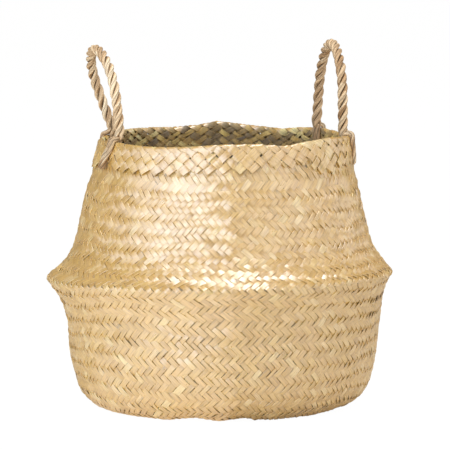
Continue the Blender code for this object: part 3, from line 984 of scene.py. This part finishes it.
def strand_mesh(name, points, inward, seed):
    """A strand: a bundle of twisted stalks along a line, closed and thinner at its ends."""
    rng = np.random.default_rng(seed)
    line, at = even(points, STRAND_STEP)
    reach = np.concatenate([[0], np.cumsum(np.linalg.norm(np.diff(points, axis=0), axis=1))])
    facing = np.stack([np.interp(at, reach * at[-1] / reach[-1], np.array(inward)[:, k]) for k in range(3)], 1)
    run = np.gradient(line, axis=0)
    run /= np.linalg.norm(run, axis=1)[:, None]
    side = np.zeros_like(line)
    side[0] = np.cross(run[0], (0.3, 0.5, 0.8))
    side[0] /= np.linalg.norm(side[0])
    for i in range(1, len(line)):
        side[i] = side[i - 1] - run[i] * (side[i - 1] @ run[i])
        side[i] /= np.linalg.norm(side[i])
    up = np.cross(run, side)
    turn = np.arange(STRAND_SIDES) * 2 * math.pi / STRAND_SIDES
    stalks = 3
    lay = at[:, None] / 0.013 * 2 * math.pi
    phase = stalks * turn[None, :] - lay * 0.9 + rng.uniform(0, 6)
    groove_and_shade = 0.5 + 0.5 * np.cos(phase)
    swell = 1 + 0.05 * np.interp(at, np.linspace(0, at[-1], 40), rng.normal(0, 1, 40))[:, None]
    radius = ROPE_SWELL * STRAND_RADIUS * swell * (1.18 - 0.15 * groove_and_shade ** 4)
    ends = np.minimum(at, at[-1] - at)[:, None]
    radius = radius * (0.35 + 0.65 * smooth(ends / 0.0022))
    ray = np.cos(turn)[None, :, None] * side[:, None, :] + np.sin(turn)[None, :, None] * up[:, None, :]
    places = line[:, None, :] + radius[..., None] * ray
    # Painted shade: darker where a strand faces the rope's middle, and in the stalk grooves, more so on the loose
    # tails.
    crevice_shade = smooth(((ray * facing[:, None, :]).sum(2) + 0.25) / 0.75)
    loose = 1 - np.linalg.norm(facing, axis=1)[:, None]
    stations = len(line)
    pairs = [(i, (-1 - i) % STRAND_SIDES) for i in range(STRAND_SIDES // 2)]
    quads = tube_quads(1, stations, STRAND_SIDES, pairs)
    around_strand = np.broadcast_to(((turn[None, :] - lay * 0.9 / stalks) % (2 * math.pi)) * STRAND_RADIUS, (stations, STRAND_SIDES))
    which = np.floor(((phase + math.pi) / (2 * math.pi)) % stalks).astype(int) % stalks
    tints = rng.uniform(0, 1, (stalks, int(at[-1] / 0.045) + 2))
    tint = tints[which, np.floor(at / 0.045).astype(int)[:, None]]
    shape = (stations, STRAND_SIDES)
    run_at = np.stack([around_strand, np.broadcast_to(at[:, None], shape), np.full(shape, seed * 1.7)], -1)
    tone = np.stack([tint, tint, np.full(shape, seed * 1.0)], -1)
    return new_mesh(name, places.reshape(-1, 3), quads, {
        "run": run_at.reshape(-1, 3), "tone": tone.reshape(-1, 3), "groove_and_shade": np.maximum(groove_and_shade ** 4 * (0.55 + 0.35 * loose), crevice_shade * 0.9).reshape(-1),
    }, ROPE)


def make_ropes():
    """The six strands, each whole from its tail at one foot to its tail at the other."""
    spacing = 2 * STRAND_RADIUS + 2 * GAP
    for side, handle in HANDLES.items():
        outside = handle["outside"]
        inside = STRANDS - outside
        slant_run = handle["slant"] * RIM_RADIUS
        slant_spacing = spacing * math.hypot(slant_run, TAIL_DROP) / TAIL_DROP
        half = math.asin(handle["chord"] / 2 / FOOT_RADIUS)
        feet = []
        names = ("back", "front") if side == "left" else ("front", "back")
        for foot, azimuth, turn in zip(names, (handle["azimuth"] - half, handle["azimuth"] + half), (1, -1)):
            tails = []
            for i in range(outside):
                offset = (i - (outside - 1) / 2) * slant_spacing
                tails.append((f"{side}_{foot}_outer_tail_{i + 1}", outer_tail(azimuth, turn * handle["slant"], offset)))
            for i in range(inside):
                offset = (i - (inside - 1) / 2) * spacing
                tails.append((f"{side}_{foot}_inner_tail_{i + 1}", inner_tail(azimuth, offset)))
            feet.append(tails)
        for strand in range(STRANDS):
            loop, inward = loop_points(handle, strand)
            first, last = feet[0], feet[1]
            one = min(first, key=lambda t: np.linalg.norm(t[1][0] - loop[0]))
            two = min(last, key=lambda t: np.linalg.norm(t[1][0] - loop[-1]))
            first.remove(one)
            last.remove(two)
            points = one[1][::-1] + loop + two[1]
            inward = [np.zeros(3)] * len(one[1]) + inward + [np.zeros(3)] * len(two[1])
            seed = 600 + strand + (10 if side == "right" else 0)
            piece = strand_mesh(f"{side}_rope_strand_{strand + 1}", points, inward, seed)
            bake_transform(piece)
            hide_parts(f"{side}_handle_strand_{strand + 1}", one[0], two[0])


make_ropes()

# Floor, backdrop and light


def make_stage():
    """A pale floor and surroundings, which the camera sees as white; the floor's front left also glows a little and
    lights the basket from there.
    """
    material = bpy.data.materials.new("floor")
    material.use_nodes = True
    tree = material.node_tree
    tree.nodes.clear()
    output = tree.nodes.new("ShaderNodeOutputMaterial")
    matt = node(tree, "ShaderNodeBsdfDiffuse", [("Color", (0.76, 0.74, 0.68, 1))]).outputs[0]
    # Painted light: a glow on the floor's front-left corner, seen only by light bouncing onto the basket.
    at = node(tree, "ShaderNodeNewGeometry").outputs["Position"]
    off = node(tree, "ShaderNodeVectorMath", [(0, at), (1, (-1.0, -0.06, 0.0))], operation="DOT_PRODUCT").outputs["Value"]
    left = node(tree, "ShaderNodeMath", [(0, off), (1, 0.0)], operation="GREATER_THAN").outputs[0]
    off = node(tree, "ShaderNodeVectorMath", [(0, at), (1, (0.15, -1.0, 0.0))], operation="DOT_PRODUCT").outputs["Value"]
    front = node(tree, "ShaderNodeMath", [(0, off), (1, 0.0)], operation="GREATER_THAN").outputs[0]
    corner = node(tree, "ShaderNodeMath", [(0, left), (1, front)], operation="MULTIPLY").outputs[0]
    corner_glow_strength = spread(tree, corner, 0.05, 0.36)
    corner_glow = node(tree, "ShaderNodeEmission", [("Color", (1, 1, 1, 1)), ("Strength", corner_glow_strength)]).outputs[0]
    lit = node(tree, "ShaderNodeAddShader", [(0, matt), (1, corner_glow)]).outputs[0]
    faint = node(tree, "ShaderNodeBsdfDiffuse", [("Color", (0.06, 0.06, 0.06, 1))]).outputs[0]
    glow = node(tree, "ShaderNodeEmission", [("Color", (1, 1, 1, 1)), ("Strength", 0.98)]).outputs[0]
    seen = node(tree, "ShaderNodeAddShader", [(0, glow), (1, faint)]).outputs[0]
    path = tree.nodes.new("ShaderNodeLightPath").outputs
    both = node(tree, "ShaderNodeMixShader", [(0, path["Is Camera Ray"]), (1, lit), (2, seen)])
    tree.links.new(both.outputs[0], output.inputs[0])
    mesh = bpy.data.meshes.new("floor")
    mesh.from_pydata([(-6, -8, 0), (6, -8, 0), (6, 8, 0), (-6, 8, 0)], [], [(0, 1, 2, 3)])
    mesh.materials.append(material)
    floor = bpy.data.objects.new("floor", mesh)
    bpy.context.scene.collection.objects.link(floor)

    world = bpy.data.worlds.new("studio")
    world.use_nodes = True
    bpy.context.scene.world = world
    tree = world.node_tree
    tree.nodes.clear()
    output = tree.nodes.new("ShaderNodeOutputWorld")
    plain = node(tree, "ShaderNodeBackground", [("Color", (1, 1, 1, 1)), ("Strength", 1.0)]).outputs[0]
    soft = node(tree, "ShaderNodeBackground", [("Color", (1.0, 0.98, 0.94, 1)), ("Strength", 0.29)]).outputs[0]
    path = tree.nodes.new("ShaderNodeLightPath")
    both = node(tree, "ShaderNodeMixShader", [(0, path.outputs["Is Camera Ray"]), (1, soft), (2, plain)])
    tree.links.new(both.outputs[0], output.inputs[0])


def area_light(name, at, to, size, power, colour=(1, 1, 1)):
    """A soft light, size wide and high, aimed at a point."""
    data = bpy.data.lights.new(name, "AREA")
    data.shape = "RECTANGLE"
    data.size, data.size_y = size
    data.energy = power
    data.color = colour
    lamp = bpy.data.objects.new(name, data)
    lamp.location = at
    lamp.rotation_euler = (Vector(to) - Vector(at)).to_track_quat("-Z", "Y").to_euler()
    bpy.context.scene.collection.objects.link(lamp)


make_stage()
area_light("key", (-0.885, -1.737, 0.82), (0, 0, 0.12), (1.42, 1.7), 16, (0.90, 1.0, 1.14))
area_light("side", (-1.808, -0.73, 0.82), (0, 0, 0.12), (1.4, 1.7), 7.5, (0.92, 1.0, 1.11))
area_light("fill", (1.7, -1.45, 0.85), (0, 0, 0.12), (2.6, 1.8), 13)
area_light("edge", (2.0, 0.8, 0.75), (0, 0, 0.15), (1.2, 1.6), 5.5)
area_light("top", (0.24, -0.25, 2.1), (0, 0, 0.15), (1.6, 1.0), 23)

bpy.context.scene.view_settings.view_transform = "Standard"
